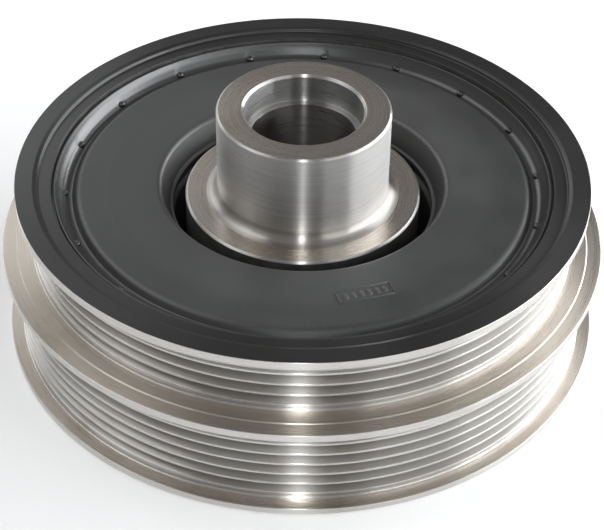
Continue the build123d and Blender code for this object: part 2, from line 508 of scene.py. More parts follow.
class ShaderTool(TreeTool):
    """Builds the node tree of one material around a Principled shader."""

    def __init__(self, name: str) -> None:
        """Makes the material.

        Args:
            name: name of the material.
        """
        self.material = bpy.data.materials.new(name)
        self.material.use_nodes = True
        super().__init__(self.material.node_tree)
        self.tree.nodes.clear()
        self.shader = self.add("ShaderNodeBsdfPrincipled")
        output = self.add("ShaderNodeOutputMaterial")
        self.link(self.shader.outputs[0], output.inputs["Surface"])
        self.place = self.add("ShaderNodeTexCoord").outputs["Object"]

    def axes(self) -> tuple[bpy.types.NodeSocket, ...]:
        """Place on the piece in turning coordinates.

        Returns:
            Sockets of radius (m), height (m), and the cosine and sine of the angle.
        """
        x, y, height = self.add("ShaderNodeSeparateXYZ", {0: self.place}).outputs
        radius = self.math("SQRT", self.math("MAXIMUM", self.square(x, y), TINY))
        return radius, height, self.math("DIVIDE", x, radius), self.math("DIVIDE", y, radius)

    def noise(
        self,
        vector: bpy.types.NodeSocket,
        scale: float,
        detail: float = 2.0,
        roughness: float = 0.5,
        fourth: bpy.types.NodeSocket | None = None,
    ) -> bpy.types.NodeSocket:
        """Adds a noise texture.

        Args:
            vector: where it is read.
            scale: its scale.
            detail: number of octaves.
            roughness: weight of the finer octaves.
            fourth: a fourth coordinate, where it has one.

        Returns:
            The noise value, about 0.5 on average.
        """
        inputs = {"Vector": vector, "Scale": scale, "Detail": detail, "Roughness": roughness}
        if fourth is not None:
            inputs["W"] = fourth
        dimensions = "3D" if fourth is None else "4D"
        return self.add("ShaderNodeTexNoise", inputs, noise_dimensions=dimensions).outputs[0]

    def turning_lines(self, pitch: float, drift: float) -> bpy.types.NodeSocket:
        """Fine lines that run round the axis, on walls and on flat faces alike.

        Args:
            pitch: typical distance between lines, mm.
            drift: how fast a line fades along the turn; 0 is a full ring.

        Returns:
            The line value, about 0.5 on average.
        """
        radius, height, cosine, sine = self.axes()
        rate = 1 / (pitch * MM)
        across = self.math("MULTIPLY", radius, rate)
        along = self.math("MULTIPLY", height, rate)
        turn_a = self.math("MULTIPLY", cosine, drift)
        turn_b = self.math("MULTIPLY", sine, drift)
        place = self.combine(across, along, turn_a)
        return self.noise(place, scale=1.0, detail=3.0, roughness=0.6, fourth=turn_b)

    def mix(
        self, factor: object, first: object, second: object, blend: Blend = Blend.SHARE
    ) -> bpy.types.NodeSocket:
        """Mixes two colours.

        Args:
            factor: share of the second, as a socket or number.
            first: a colour socket or (r, g, b).
            second: a colour socket or (r, g, b).
            blend: how they mix.

        Returns:
            The mixed colour.
        """
        node = self.add("ShaderNodeMix", data_type="RGBA", blend_type=blend.value)
        for key, value in zip(MIX_INPUTS, (factor, first, second)):
            if isinstance(value, bpy.types.NodeSocket):
                self.link(value, node.inputs[key])
            elif isinstance(value, (int, float)):
                node.inputs[key].default_value = value
            else:
                node.inputs[key].default_value = (*value, 1.0)
        return node.outputs[MIX_RESULT]

    def bump(
        self, height: bpy.types.NodeSocket, depth: float, under: bpy.types.NodeSocket | None = None
    ) -> bpy.types.NodeSocket:
        """Adds a bump node.

        Args:
            height: height from 0 to 1.
            depth: real depth at height 1, mm.
            under: a normal to start from.

        Returns:
            The bumped normal.
        """
        inputs = {"Height": height, "Distance": depth * MM, "Strength": 1.0}
        if under is not None:
            inputs["Normal"] = under
        return self.add("ShaderNodeBump", inputs).outputs[0]

    def set(self, **values: object) -> None:
        """Sets constants on the shader's own sockets, by name with underscores for spaces."""
        for key, value in values.items():
            self.shader.inputs[key.replace("_", " ")].default_value = value

    def use(self, name: str, socket: bpy.types.NodeSocket) -> None:
        """Feeds a socket into the shader."""
        self.link(socket, self.shader.inputs[name])

    def draw_out(self, anisotropy: float) -> None:
        """Draws the highlight out across marks that run round the axis.

        Args:
            anisotropy: how far it is drawn out, 0 to 1.
        """
        self.set(Anisotropic=anisotropy, Anisotropic_Rotation=TURNED_LAY)
        tangent = self.add("ShaderNodeTangent", direction_type="RADIAL", axis="Z")
        self.use("Tangent", tangent.outputs[0])


def made(finish: "WorkedMetal | BlackCoat | MouldedRubber | DarkPart") -> bpy.types.Material:
    """The material of a finish, built at its first use.

    Args:
        finish: the finish.

    Returns:
        Its material.
    """
    if finish.name not in MADE:
        MADE[finish.name] = finish.material()
    return MADE[finish.name]


@dataclass(frozen=True)
class WorkedMetal:
    """Bare metal with tool marks that run round the axis.

    Attributes:
        name: name of the material.
        tint: colour of the clean metal.
        stain: colour where a film of oil or oxide has settled.
        stain_share: how much of the surface the film takes, 0 to 1.
        roughness: middle roughness.
        anisotropy: how far the highlight is drawn out, 0 to 1.
        line_pitch: distance between visible tool marks, mm.
        line_depth: depth of the marks, mm.
        line_shade: how much the marks change the colour.
        drift: how fast a mark fades along the turn; 0 is a full ring.
        crest: radius of the crests, above which no painted shade is laid, mm; 0 where it has no grooves.
        groove_depth: depth below the crest at which the painted groove shade is darkest, mm.
        groove_painted_shade: painted shade at that depth, as a share of the full colour.
        patch_scale: scale of the patches of film.
        film_span: noise values at which the film begins and is full.
        film_growth: how far a full stain_share lowers the first of them.
        rough_share: how far the roughness swings from line to line, as a share of it.
    """

    name: str
    tint: tuple[float, float, float]
    stain: tuple[float, float, float]
    stain_share: float = 0.3
    roughness: float = 0.40
    anisotropy: float = 0.95
    line_pitch: float = 0.30
    line_depth: float = 0.0025
    line_shade: float = 0.12
    drift: float = 1.2
    crest: float = 0.0
    groove_depth: float = 2.75
    groove_painted_shade: float = 0.66
    patch_scale: float = 45.0
    film_span: tuple[float, float] = (0.62, 0.78)
    film_growth: float = 0.3
    rough_share: float = 0.18

    def material(self) -> bpy.types.Material:
        """Makes the material.

        Returns:
            The material.
        """
        tool = ShaderTool(self.name)
        lines = tool.turning_lines(self.line_pitch, self.drift)
        patches = tool.noise(tool.place, self.patch_scale, detail=4.0, roughness=0.55)
        film_start, film_end = self.film_span
        film_start -= self.film_growth * self.stain_share
        colour = tool.mix(tool.ramp(patches, film_start, film_end, 0.0, 1.0), self.tint, self.stain)
        shade = tool.ramp(lines, *LINES_SHOWN, 1.0 - self.line_shade, 1.0)
        # Painted shade: below the crest radius the colour darkens into the grooves and stands for the shade
        # that falls in them.
        if self.crest > 0:
            low = (self.crest - self.groove_depth) * MM
            depth = tool.ramp(tool.axes()[0], low, self.crest * MM, self.groove_painted_shade, 1.0)
            shade = tool.math("MULTIPLY", shade, depth)
        grey = tool.combine(shade, shade, shade)
        tool.use("Base Color", tool.mix(1.0, colour, grey, Blend.TINT))
        swing = self.rough_share * self.roughness
        rough = tool.ramp(lines, *LINES_FELT, self.roughness + swing, self.roughness - swing)
        tool.use("Roughness", rough)
        tool.use("Normal", tool.bump(lines, self.line_depth))
        tool.draw_out(self.anisotropy)
        tool.set(Metallic=1.0)
        return tool.material


@dataclass(frozen=True)
class BlackCoat:
    """Thin satin black coating over fine turning marks.

    Attributes:
        name: name of the material.
        tint: its colour.
        dust: colour of the dust on it.
        roughness: middle roughness.
        line_pitch: distance between the marks that show through, mm.
        line_depth: depth of those marks, mm.
        line_drift: how fast a mark fades along the turn.
        anisotropy: how far the highlight is drawn out, 0 to 1.
        specular: strength of its sheen.
        grain_scale: scale of the coating's grain.
        grain_depth: depth of the grain, mm.
        haze_scale: scale of the haze.
        haze_span: noise values between which the haze thickens.
        haze_share: how much dust the haze brings.
        grain_span: noise values between which dust sits in the grain.
        grain_share: how much dust the grain holds.
        rough_swing: how far the haze shifts the roughness either way.
    """

    name: str
    tint: tuple[float, float, float]
    dust: tuple[float, float, float]
    roughness: float = 0.36
    line_pitch: float = 0.5
    line_depth: float = 0.002
    line_drift: float = 0.8
    anisotropy: float = 0.6
    specular: float = 0.7
    grain_scale: float = 1900.0
    grain_depth: float = 0.004
    haze_scale: float = 28.0
    haze_span: tuple[float, float] = (0.35, 0.8)
    haze_share: float = 0.12
    grain_span: tuple[float, float] = (0.62, 0.75)
    grain_share: float = 0.10
    rough_swing: float = 0.04

    def material(self) -> bpy.types.Material:
        """Makes the material.

        Returns:
            The material.
        """
        tool = ShaderTool(self.name)
        lines = tool.turning_lines(self.line_pitch, self.line_drift)
        grain = tool.noise(tool.place, self.grain_scale, detail=2.0, roughness=0.6)
        haze = tool.noise(tool.place, self.haze_scale, detail=3.0, roughness=0.5)
        hazy = tool.mix(tool.ramp(haze, *self.haze_span, 0.0, self.haze_share), self.tint, self.dust)
        dusty = tool.mix(tool.ramp(grain, *self.grain_span, 0.0, self.grain_share), hazy, self.dust)
        tool.use("Base Color", dusty)
        swing = self.rough_swing
        tool.use("Roughness", tool.ramp(haze, *CLOUD_SPAN, self.roughness - swing, self.roughness + swing))
        tool.use("Normal", tool.bump(grain, self.grain_depth, tool.bump(lines, self.line_depth)))
        tool.draw_out(self.anisotropy)
        tool.set(Specular_IOR_Level=self.specular)
        return tool.material


@dataclass(frozen=True)
class MouldedRubber:
    """Matte moulded rubber with a fine grain and a thin bloom.

    Attributes:
        name: name of the material.
        tint: its colour.
        bloom: colour of the thin bloom on it.
        roughness: middle roughness of the flat face.
        smooth_inside: roughness of the wall inside the face.
        smooth_outside: roughness of the trough outside the face.
        face_inner: radius at which the inner smooth zone ends, mm.
        face_outer: radius at which the outer smooth zone begins, mm.
        bloom_end: radius inside which the bloom is heaviest, mm.
        bloom_shares: share of the bloom inside and outside that radius.
        bloom_swing: how far the clouds shift that share either way.
        zone_fade: half the width over which those zones fade, mm.
        bloom_fade: half the width over which the bloom fades, mm.
        specular: strength of its sheen.
        grain_scale: scale of its grain.
        grain_depth: depth of its grain, mm.
        cloud_scale: scale of the clouds in the bloom.
        line_pitch: distance between the mould's turning marks, mm.
        line_depth: depth of those marks, mm.
        line_drift: how fast a mark fades along the turn.
        cloud_span: noise values between which the clouds thicken.
        speck_span: noise values between which the grain carries bloom.
        speck_share: how much bloom the grain carries.
        rough_swing: how far the clouds lower and raise the roughness of the face.
        grain_wall: share of the grain's depth off the flat face.
    """

    name: str
    tint: tuple[float, float, float]
    bloom: tuple[float, float, float]
    roughness: float = 0.46
    smooth_inside: float = 0.44
    smooth_outside: float = 0.32
    face_inner: float = 41.5
    face_outer: float = 63.8
    bloom_end: float = 54.0
    bloom_shares: tuple[float, float] = (0.85, 0.15)
    bloom_swing: float = 0.15
    zone_fade: float = 1.2
    bloom_fade: float = 4.0
    specular: float = 0.85
    grain_scale: float = 1300.0
    grain_depth: float = 0.010
    cloud_scale: float = 55.0
    line_pitch: float = 0.6
    line_depth: float = 0.006
    line_drift: float = 1.5
    cloud_span: tuple[float, float] = (0.3, 0.75)
    speck_span: tuple[float, float] = (0.45, 0.8)
    speck_share: float = 0.5
    rough_swing: tuple[float, float] = (0.04, 0.05)
    grain_wall: float = 0.15

    def material(self) -> bpy.types.Material:
        """Makes the material.

        Returns:
            The material.
        """
        tool = ShaderTool(self.name)
        grain = tool.noise(tool.place, self.grain_scale, detail=3.0, roughness=0.65)
        clouds = tool.noise(tool.place, self.cloud_scale, detail=4.0, roughness=0.6)
        radius = tool.axes()[0]
        bloom_low = (self.bloom_end - self.bloom_fade) * MM
        bloom_high = (self.bloom_end + self.bloom_fade) * MM
        settled = tool.ramp(radius, bloom_low, bloom_high, *self.bloom_shares)
        patchy = tool.ramp(clouds, *self.cloud_span, -self.bloom_swing, self.bloom_swing)
        share = tool.math("ADD", settled, patchy, clamp=True)
        colour = tool.mix(share, self.tint, self.bloom)
        specks = tool.ramp(grain, *self.speck_span, 0.0, self.speck_share)
        tool.use("Base Color", tool.mix(specks, colour, self.bloom))
        fade = self.zone_fade * MM
        inner = self.face_inner * MM
        outer = self.face_outer * MM
        inside = tool.ramp(radius, inner - fade, inner + fade, 0.0, 1.0)
        outside = tool.ramp(radius, outer - fade, outer + fade, 1.0, 0.0)
        flat = tool.math("MULTIPLY", inside, outside)
        down, up = self.rough_swing
        spread = tool.ramp(clouds, *CLOUD_SPAN, self.roughness - down, self.roughness + up)
        step = self.smooth_inside - self.smooth_outside
        smooth = tool.math("MULTIPLY_ADD", outside, step, self.smooth_outside)
        lift = tool.math("MULTIPLY", tool.math("SUBTRACT", spread, smooth), flat)
        tool.use("Roughness", tool.math("ADD", lift, smooth))
        marks = tool.turning_lines(self.line_pitch, self.line_drift)
        grain_share = tool.math("MULTIPLY_ADD", flat, 1.0 - self.grain_wall, self.grain_wall)
        rough = tool.math("MULTIPLY", grain, grain_share)
        tool.use("Normal", tool.bump(rough, self.grain_depth, tool.bump(marks, self.line_depth)))
        tool.set(Specular_IOR_Level=self.specular)
        return tool.material


@dataclass(frozen=True)
class DarkPart:
    """Plain dark surface of a part inside the balancer, with a faint mottle.

    Attributes:
        name: name of the material.
        tint: its colour.
        roughness: middle roughness.
        metallic: 1 for metal, 0 for rubber or plastic.
        mottle: scale of the mottle.
        mottle_depth: depth of the mottle, mm.
        mottle_span: noise values between which the mottle goes pale.
        mottle_share: how much of the pale colour it takes.
        pale_gain: how many times brighter the pale colour is.
        pale_lift: brightness added to it.
        rough_swing: how far the mottle shifts the roughness either way.
    """

    name: str
    tint: tuple[float, float, float]
    roughness: float
    metallic: float
    mottle: float = 300.0
    mottle_depth: float = 0.01
    mottle_span: tuple[float, float] = (0.35, 0.75)
    mottle_share: float = 0.6
    pale_gain: float = 1.6
    pale_lift: float = 0.01
    rough_swing: float = 0.05

    def material(self) -> bpy.types.Material:
        """Makes the material.

        Returns:
            The material.
        """
        tool = ShaderTool(self.name)
        cloud = tool.noise(tool.place, self.mottle, detail=4.0, roughness=0.6)
        pale = tuple(min(1.0, self.pale_gain * value + self.pale_lift) for value in self.tint)
        share = tool.ramp(cloud, *self.mottle_span, 0.0, self.mottle_share)
        tool.use("Base Color", tool.mix(share, self.tint, pale))
        swing = self.rough_swing
        tool.use("Roughness", tool.ramp(cloud, *CLOUD_SPAN, self.roughness - swing, self.roughness + swing))
        tool.use("Normal", tool.bump(cloud, self.mottle_depth))
        tool.set(Metallic=self.metallic)
        return tool.material


# Both track steels lay a painted shade that darkens their grooves below the crest radius.
FRONT_TRACK_STEEL = WorkedMetal(
    "front_track", (0.64, 0.62, 0.59), (0.52, 0.48, 0.43), roughness=0.33, anisotropy=1.0, crest=81.2
)
REAR_TRACK_STEEL = replace(FRONT_TRACK_STEEL, name="rear_track", crest=76.35)
LAND_STEEL = WorkedMetal(
    "turned_land",
    (0.64, 0.625, 0.605),
    (0.55, 0.525, 0.49),
    roughness=0.28,
    anisotropy=1.0,
    line_depth=0.0008,
    line_shade=0.04,
)
SLEEVE_STEEL = WorkedMetal(
    "ground_sleeve",
    (0.66, 0.65, 0.635),
    (0.58, 0.56, 0.53),
    roughness=0.335,
    anisotropy=1.0,
    line_pitch=0.34,
    line_depth=0.0024,
    line_shade=0.30,
    drift=0.8,
)
FOOT_STEEL = replace(SLEEVE_STEEL, name="sleeve_foot", tint=(0.50, 0.475, 0.445), stain=(0.43, 0.40, 0.36))
# Steel of the flat faces that look up: its browner, darker tint is painted shade that stands for the dim
# warm room these faces reflect. The shelf steel shares that tint.
FACE_STEEL = WorkedMetal(
    "faced_steel",
    (0.60, 0.545, 0.485),
    (0.48, 0.42, 0.355),
    stain_share=0.4,
    roughness=0.27,
    anisotropy=0.25,
    line_pitch=0.25,
    line_depth=0.0005,
    line_shade=0.045,
    drift=0.5,
)
SHELF_STEEL = replace(FACE_STEEL, name="shelf_steel", roughness=0.30, anisotropy=0.90)
# The recess and the bore take darker copies of the sleeve's steel. This is a painted shade inside the nose,
# and it is deepest in the bore.
RECESS_STEEL = replace(SLEEVE_STEEL, name="recess_steel", tint=(0.46, 0.455, 0.445), roughness=0.31)
BORE_STEEL = WorkedMetal(
    "bored_steel",
    (0.34, 0.325, 0.31),
    (0.24, 0.21, 0.18),
    stain_share=0.5,
    roughness=0.30,
    anisotropy=1.0,
    line_pitch=0.4,
)
RING_COAT = BlackCoat("black_coat", (0.010, 0.0097, 0.009), (0.07, 0.068, 0.063))
DISC_RUBBER = MouldedRubber("moulded_rubber", (0.022, 0.0218, 0.0214), (0.046, 0.046, 0.0455))
CAST_DARK = DarkPart("dark_iron", (0.12, 0.115, 0.11), roughness=0.55, metallic=0.6)
PRESSED_DARK = DarkPart("phosphated_steel", (0.06, 0.06, 0.06), roughness=0.6, metallic=0.5)
INNER_RUBBER = DarkPart("damper_rubber", (0.03, 0.03, 0.031), 0.6, metallic=0.0, mottle=900.0)
BUSH_PLASTIC = DarkPart("bush_plastic", (0.035, 0.032, 0.029), 0.5, metallic=0.0, mottle=700.0)


# ------------------------------------------------------------------ pulley ring


@dataclass(frozen=True)
class RibProfile:
    """Ribbed-belt groove form, shared by both tracks.

    Attributes:
        pitch: distance between two grooves, mm.
        angle: angle between the two flanks, degrees.
        depth: depth of a groove, mm.
        crest: width of a rib's top before rounding, mm.
        crest_round: round of a rib's edges, mm.
        floor_round: round of a groove's floor, mm.
    """

    pitch: float = 3.56
    angle: float = 40.0
    depth: float = 2.75
    crest: float = 0.70
    crest_round: float = 0.20
    floor_round: float = 0.18

    @property
    def slope(self) -> float:
        """Rise of a flank along the axis for each mm of radius."""
        return math.tan(math.radians(self.angle / 2))

    @property
    def half_gap(self) -> float:
        """Half the width of a groove at the crests, mm."""
        return (self.pitch - self.crest) / 2

    @property
    def half_floor(self) -> float:
        """Half the width of a groove's floor, mm."""
        return self.half_gap - self.depth * self.slope

    def groove(self, crest_middle: float, crest_radius: float) -> list[Corner]:
        """Corners of the groove above a crest, from the crest's upper edge to the groove's floor.

        Args:
            crest_middle: height of the crest's middle, mm.
            crest_radius: radius of the crests, mm.

        Returns:
            The upper edge of the crest and both corners of the floor.
        """
        middle = crest_middle + self.pitch / 2
        floor = crest_radius - self.depth
        return [
            Corner(crest_radius, crest_middle + self.crest / 2, self.crest_round),
            Corner(floor, middle - self.half_floor, self.floor_round),
            Corner(floor, middle + self.half_floor, self.floor_round),
        ]


@dataclass
class PulleyRing:
    """Turned ring with two ribbed tracks, three flanges and a coated rear face, in mm and degrees."""

    rib: RibProfile
    front_grooves: int = 6
    rear_grooves: int = 4
    front_crest_radius: float = 81.2
    rear_crest_radius: float = 76.35
    flange_radius: float = 85.0
    rear_flange_radius: float = 80.0
    front_flange: float = 2.30
    middle_flange: float = 2.55
    rear_flange: float = 2.84
    front_shelf_gap: float = 1.74
    rear_shelf_gap: float = 1.94
    wall_draft: float = 12.0
    shelf_step_radius: float = 81.1
    shelf_step_height: float = 0.25
    shelf_step_round: float = 0.1
    foot_round: float = 0.5
    edge_chamfer: float = 0.45
    edge_round: float = 0.15
    bond_radius: float = 70.0
    step_radius: float = 73.9
    step_round: float = 0.3
    bevel_width: float = 1.1
    bevel_drop: float = 0.36
    bevel_round: float = 1.0
    bevel_foot: float = 0.05
    step_width: float = 0.25
    step_depth: float = 1.20
    bearing_radius: float = 64.5
    ledge_height: float = 18.0
    mouth_chamfer: float = 1.0
    ledge_round: float = 1.5
    bore_round: float = 0.2
    land_depth: float = 0.3
    land_rise: float = 1.0
    plane_margin: float = 0.03
    edge_margin: float = 0.1
    shelf_reach: float = 0.5
    coat_reach: float = 4.0
    coat_edge: float = 0.12
    bond_margin: float = 0.3
    cast_drop: float = 0.3
    step_margin: float = 0.4
    columns: int = 240

    def _flank_end(self, last_crest: float, crest_radius: float, flange_radius: float) -> float:
        """Height at which the flank above a track's last groove reaches its flange, mm."""
        middle = last_crest + self.rib.pitch / 2
        return middle + self.rib.half_gap + (flange_radius - crest_radius) * self.rib.slope

    def _heights(self) -> dict[str, float]:
        """Heights that follow from the sizes.

        Returns:
            Heights above the front face by name, mm.
        """
        front_first = self.front_flange + self.front_shelf_gap
        front_last = front_first + (self.front_grooves - 1) * self.rib.pitch
        middle_low = self._flank_end(front_last, self.front_crest_radius, self.flange_radius)
        middle_high = middle_low + self.middle_flange
        rear_first = middle_high + self.rear_shelf_gap
        rear_last = rear_first + (self.rear_grooves - 1) * self.rib.pitch
        rear_low = self._flank_end(rear_last, self.rear_crest_radius, self.rear_flange_radius)
        return {
            "front_first": front_first,
            "front_last": front_last,
            "middle_low": middle_low,
            "middle_high": middle_high,
            "rear_first": rear_first,
            "rear_last": rear_last,
            "rear_low": rear_low,
            "top": rear_low + self.rear_flange,
        }

    def _foot(self, crest: float, crest_radius: float, gap: float) -> list[Corner]:
        """Outer wall of a track's first rib, up to the middle of its crest.

        Args:
            crest: height of the crest's middle, mm.
            crest_radius: radius of the crest, mm.
            gap: height of the crest's middle above the shelf, mm.

        Returns:
            The wall's corners, from the shelf up.
        """
        lean = (gap - self.rib.crest / 2) * math.tan(math.radians(self.wall_draft))
        return [
            Corner(crest_radius - lean, crest - gap, self.foot_round),
            Corner(crest_radius, crest - self.rib.crest / 2, self.rib.crest_round),
            Corner(crest_radius, crest),
        ]

    def _band(self, name: str, first: float, radius: float, count: int) -> bpy.types.Object:
        """Repeats one groove along the axis with a node tree.

        Args:
            name: name of the result.
            first: height of the first crest's middle, mm.
            radius: radius of the crests, mm.
            count: number of grooves.

        Returns:
            An open band of grooves.
        """
        pitch = self.rib.pitch
        corners = [Corner(radius, first), *self.rib.groove(first, radius)]
        corners += [
            Corner(radius, first + pitch - self.rib.crest / 2, self.rib.crest_round),
            Corner(radius, first + pitch),
        ]
        groove = turned_mesh(name, Outline(corners, closed=False), even_angles(self.columns))
        tool = NodeTool(f"{name}_tree")
        copies = tool.ask("Grooves", "NodeSocketInt", count)
        step = tool.ask("Pitch", "NodeSocketFloat", pitch * MM)
        offsets = {"Count": copies, "Offset": tool.combine(z=step)}
        line = tool.add("GeometryNodeMeshLine", offsets, mode="OFFSET")
        repeat = tool.add(
            "GeometryNodeInstanceOnPoints",
            {"Points": line.outputs[0], "Instance": tool.given.outputs[0]},
        )
        tool.close(repeat.outputs[0], made(FRONT_TRACK_STEEL))
        return tool.apply(in_scene(name, groove))

    def _middle(self, at: dict[str, float]) -> Outline:
        """Last front groove, the middle flange with its stepped shelf, and the rear track's foot.

        Args:
            at: heights by name, mm.

        Returns:
            An open outline.
        """
        chamfer = self.edge_chamfer
        edge = self.edge_round
        shelf = at["middle_high"] + self.shelf_step_height
        inner = self.shelf_step_radius - self.shelf_step_height
        corners = [Corner(self.front_crest_radius, at["front_last"])]
        corners += self.rib.groove(at["front_last"], self.front_crest_radius)
        corners += [
            Corner(self.flange_radius - chamfer, at["middle_low"] - chamfer * self.rib.slope, edge),
            Corner(self.flange_radius, at["middle_low"] + chamfer, edge),
            Corner(self.flange_radius, at["middle_high"], edge),
            Corner(self.shelf_step_radius, at["middle_high"], self.shelf_step_round),
            Corner(inner, shelf, self.shelf_step_round),
        ]
        rise = at["rear_first"] - shelf
        corners += self._foot(at["rear_first"], self.rear_crest_radius, rise)
        return Outline(corners, closed=False)

    def _inside(self, at: dict[str, float]) -> Outline:
        """Last rear groove, the rear flange, the stepped rear face, both bores and the front face.

        Args:
            at: heights by name, mm.

        Returns:
            An open outline that ends at the front track's first crest.
        """
        chamfer = self.edge_chamfer
        edge = self.edge_round
        top = at["top"]
        corners = [Corner(self.rear_crest_radius, at["rear_last"])]
        corners += self.rib.groove(at["rear_last"], self.rear_crest_radius)
        corners += [
            Corner(self.rear_flange_radius - chamfer, at["rear_low"] - chamfer * self.rib.slope, edge),
            Corner(self.rear_flange_radius, at["rear_low"] + chamfer, edge),
            Corner(self.rear_flange_radius, top, edge),
            Corner(self.step_radius + self.bevel_width, top, self.bevel_round),
            Corner(self.step_radius + self.bevel_foot, top - self.bevel_drop, self.step_round),
            Corner(self.step_radius - self.step_width, top - self.step_depth, self.step_round),
            Corner(self.bond_radius, top - self.step_depth, self.bore_round),
            Corner(self.bond_radius, self.ledge_height, self.ledge_round),
            Corner(self.bearing_radius, self.ledge_height, self.bore_round),
            Corner(self.bearing_radius, self.mouth_chamfer, self.bore_round),
            Corner(self.bearing_radius + self.mouth_chamfer, 0, self.bore_round),
            Corner(self.flange_radius - chamfer, 0, edge),
            Corner(self.flange_radius, chamfer, edge),
            Corner(self.flange_radius, self.front_flange, edge),
        ]
        corners += self._foot(at["front_first"], self.front_crest_radius, self.front_shelf_gap)
        return Outline(corners, closed=False)

    def _regions(self, at: dict[str, float]) -> list[tuple[bpy.types.Material, RingTest]]:
        """Finishes of the ring by radius and height, each of which wins over those before it.

        Args:
            at: heights by name, mm.

        Returns:
            Pairs of a finish and its test.
        """
        middle_low = at["middle_low"]
        middle_high = at["middle_high"]
        shelf = middle_high + self.shelf_step_height
        pocket = at["top"] - self.step_depth
        bond = self.bond_radius + self.bond_margin
        front_land = self.front_crest_radius - self.land_depth
        rear_land = self.rear_crest_radius - self.land_depth
        front_shelf = self.front_crest_radius - self.shelf_reach
        rear_shelf = self.rear_crest_radius - self.shelf_reach
        flange_land = self.flange_radius - self.edge_chamfer - self.edge_margin
        flange_inside = self.flange_radius - self.edge_margin
        rear_flat = self.rear_flange_radius - self.coat_edge
        near = self.plane_margin
        return [
            (made(REAR_TRACK_STEEL), lambda r, z: z > middle_high - near),
            (made(LAND_STEEL), lambda r, z: (r > front_land) & (z < middle_low)),
            (made(LAND_STEEL), lambda r, z: (r > rear_land) & (z > middle_high + self.land_rise)),
            (made(LAND_STEEL), lambda r, z: r > flange_land),
            (
                made(SHELF_STEEL),
                lambda r, z: (z > middle_high - near)
                & (z < shelf + near)
                & (r > rear_shelf)
                & (r < flange_inside),
            ),
            (
                made(SHELF_STEEL),
                lambda r, z: (abs(z - self.front_flange) < near) & (r > front_shelf) & (r < flange_inside),
            ),
            (made(CAST_DARK), lambda r, z: (r < bond) & (z < pocket - self.cast_drop)),
            (made(RING_COAT), lambda r, z: (r < bond) & (z > pocket - self.coat_reach)),
            (made(RING_COAT), lambda r, z: (r < rear_flat) & (z > pocket - self.step_margin)),
        ]

    def build(self) -> bpy.types.Object:
        """Builds and dresses the ring.

        Returns:
            The finished piece.
        """
        at = self._heights()
        angles = even_angles(self.columns)
        front = (at["front_first"], self.front_crest_radius, self.front_grooves - 1)
        rear = (at["rear_first"], self.rear_crest_radius, self.rear_grooves - 1)
        parts = [
            self._band("front_grooves", *front),
            self._band("rear_grooves", *rear),
            in_scene("middle", turned_mesh("middle", self._middle(at), angles)),
            in_scene("inside", turned_mesh("inside", self._inside(at), angles)),
        ]
        ring = joined("pulley_ring_turned", parts)
        finish_faces(ring, made(FRONT_TRACK_STEEL), self._regions(at))
        settle(ring, Slot.RING, "pulley_ring")
        return ring


# ------------------------------------------------------------------ isolator rubber


